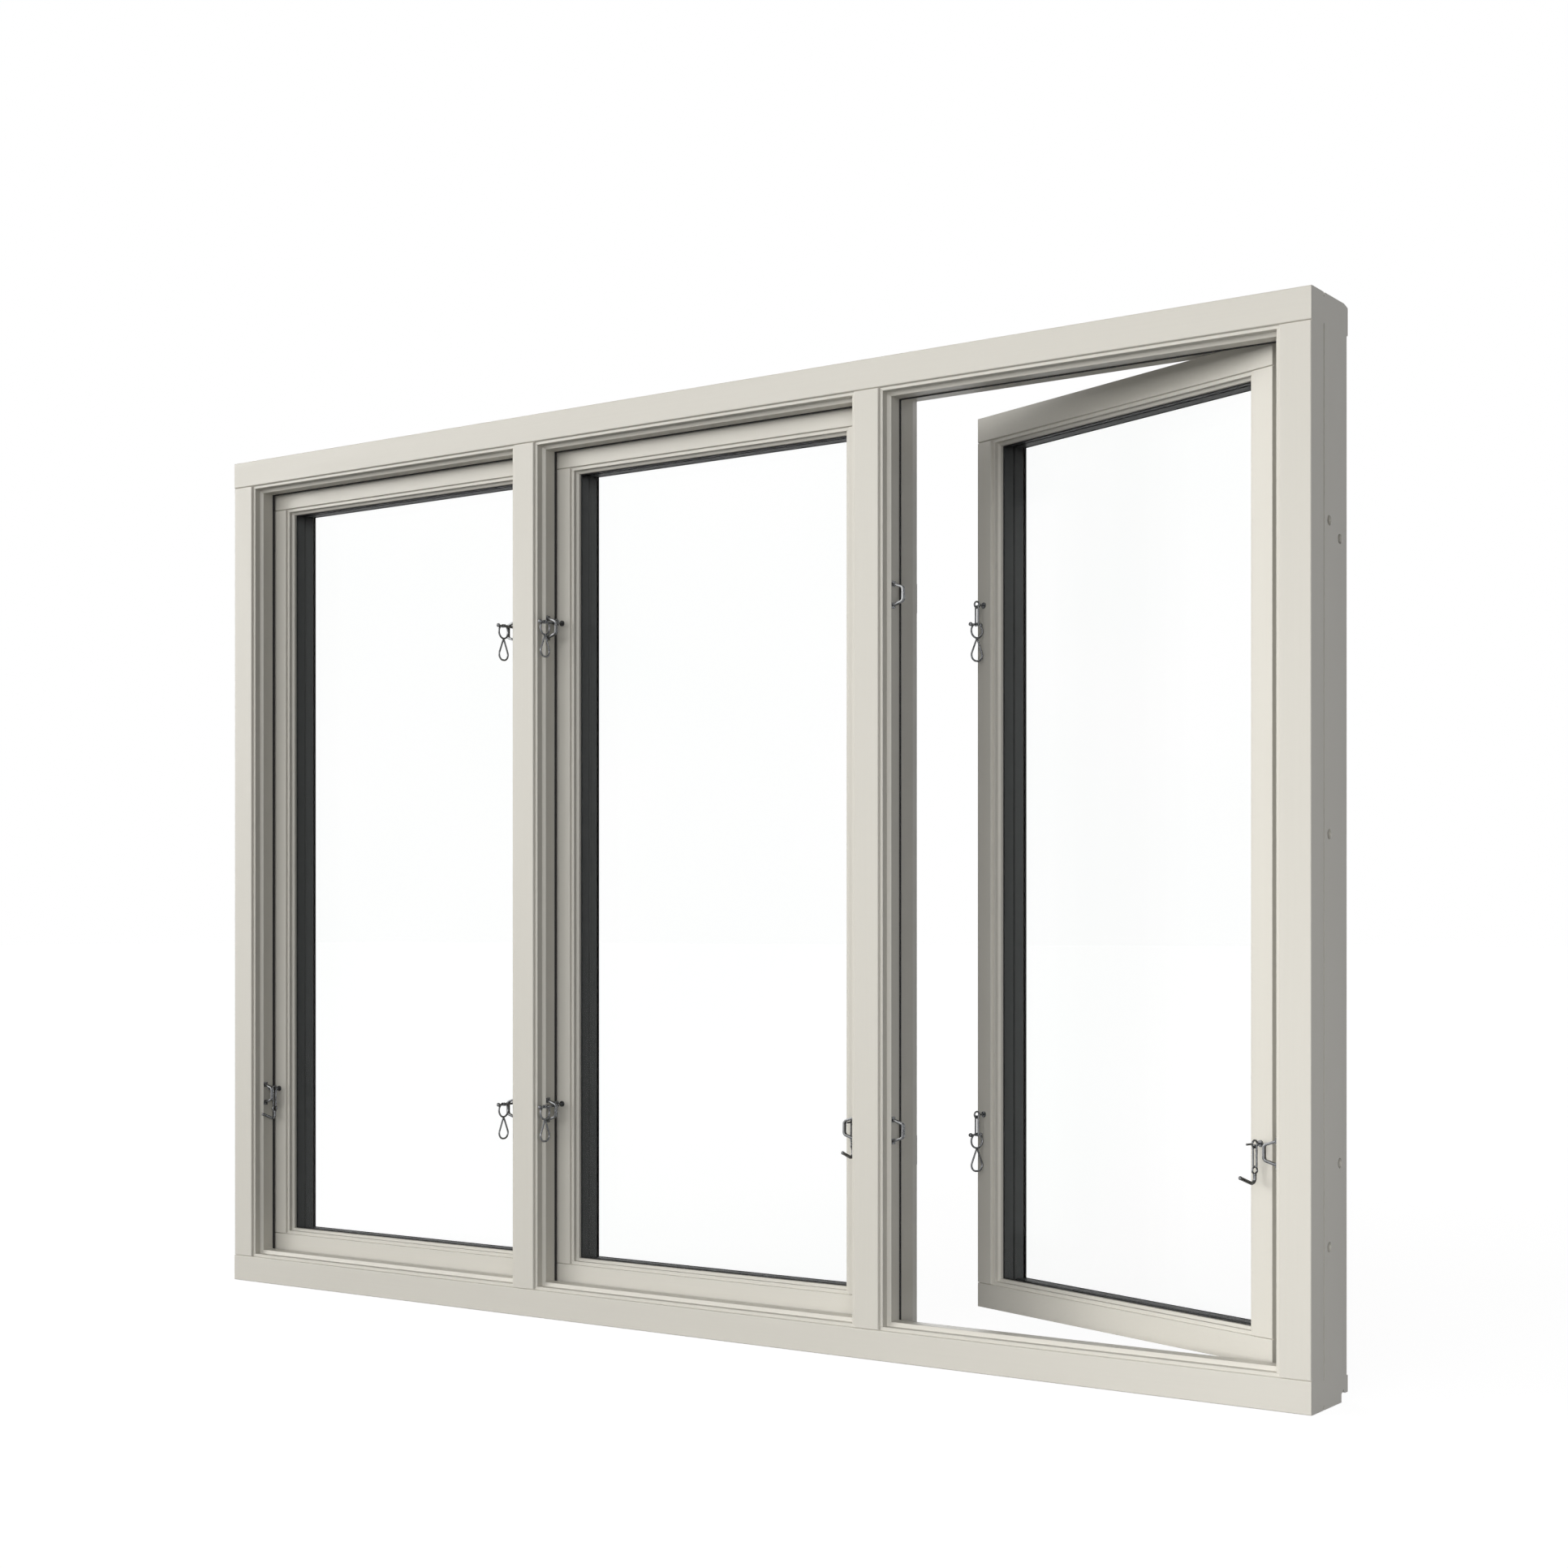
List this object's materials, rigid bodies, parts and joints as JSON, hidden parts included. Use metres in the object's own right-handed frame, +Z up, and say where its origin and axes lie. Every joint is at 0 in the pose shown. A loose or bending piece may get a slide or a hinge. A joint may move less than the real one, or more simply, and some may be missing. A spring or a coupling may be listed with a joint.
{
  "type": "casement window",
  "caption": "Painted timber window with side-hung casements that open outwards, sealed glass units, wire hasps and storm hooks, one casement ajar.",
  "frame": {"origin": "under the sill, at mid width and mid depth of the frame, on the seat that stands on the wall", "axes": "+X to the right as seen from the room, +Y from the room to the outside, +Z up"},
  "size_m": [1.78, 0.304, 1.28],
  "materials": {
    "painted_timber": "warm white satin paint on pine",
    "clear_glass": "clear float glass in a sealed unit",
    "black_spacer": "black warm-edge spacer and sealant",
    "zinc_steel": "bright zinc plate"
  },
  "bodies": {
    "frame": {"frame_head": "painted_timber", "frame_sill": "painted_timber", "left_jamb": "painted_timber", "right_jamb": "painted_timber", "left_mullion": "painted_timber", "right_mullion": "painted_timber", "left_frame_hinges": "zinc_steel", "middle_frame_hinges": "zinc_steel", "right_frame_hinges": "zinc_steel", "left_staples": "zinc_steel", "middle_staples": "zinc_steel", "right_staples": "zinc_steel"},
    "left_casement": {"left_top_rail": "painted_timber", "left_bottom_rail": "painted_timber", "left_hinge_stile": "painted_timber", "left_lock_stile": "painted_timber", "left_glass_panes": "clear_glass", "left_glass_spacers": "black_spacer", "left_outer_beads": "painted_timber", "left_sash_hinges": "zinc_steel", "left_screw_eyes": "zinc_steel", "left_hasps": "zinc_steel", "left_storm_hook": "zinc_steel"},
    "middle_casement": {"middle_top_rail": "painted_timber", "middle_bottom_rail": "painted_timber", "middle_hinge_stile": "painted_timber", "middle_lock_stile": "painted_timber", "middle_glass_panes": "clear_glass", "middle_glass_spacers": "black_spacer", "middle_outer_beads": "painted_timber", "middle_sash_hinges": "zinc_steel", "middle_screw_eyes": "zinc_steel", "middle_hasps": "zinc_steel", "middle_storm_hook": "zinc_steel"},
    "right_casement": {"right_top_rail": "painted_timber", "right_bottom_rail": "painted_timber", "right_hinge_stile": "painted_timber", "right_lock_stile": "painted_timber", "right_glass_panes": "clear_glass", "right_glass_spacers": "black_spacer", "right_outer_beads": "painted_timber", "right_sash_hinges": "zinc_steel", "right_screw_eyes": "zinc_steel"},
    "right_upper_hasp": {"right_upper_hasp": "zinc_steel"},
    "right_lower_hasp": {"right_lower_hasp": "zinc_steel"},
    "right_storm_hook": {"right_storm_hook": "zinc_steel"}
  },
  "joints": [
    {"name": "left_casement_swing", "type": "hinge", "parent": "frame", "child": "left_casement", "pos_m": [-0.8515, 0.0595, 0.6], "axis": [0, 0, 1], "range_deg": [0, 90]},
    {"name": "middle_casement_swing", "type": "hinge", "parent": "frame", "child": "middle_casement", "pos_m": [0.2715, 0.0595, 0.6], "axis": [0, 0, -1], "range_deg": [0, 90]},
    {"name": "right_casement_swing", "type": "hinge", "parent": "frame", "child": "right_casement", "pos_m": [0.8515, 0.0595, 0.6], "axis": [0, 0, -1], "range_deg": [-20, 70]},
    {"name": "right_upper_hasp_swing", "type": "hinge", "parent": "right_casement", "child": "right_upper_hasp", "pos_m": [0.3311, 0.15739, 0.9843], "axis": [-0.9397, 0.342, 0], "range_deg": [0, 90]},
    {"name": "right_lower_hasp_swing", "type": "hinge", "parent": "right_casement", "child": "right_lower_hasp", "pos_m": [0.3311, 0.15739, 0.2993], "axis": [-0.9397, 0.342, 0], "range_deg": [0, 90]},
    {"name": "right_storm_hook_swing", "type": "hinge", "parent": "right_casement", "child": "right_storm_hook", "pos_m": [0.80368, -0.01195, 0.2983], "axis": [-0.9397, 0.342, 0], "range_deg": [0, 90]}
  ]
}
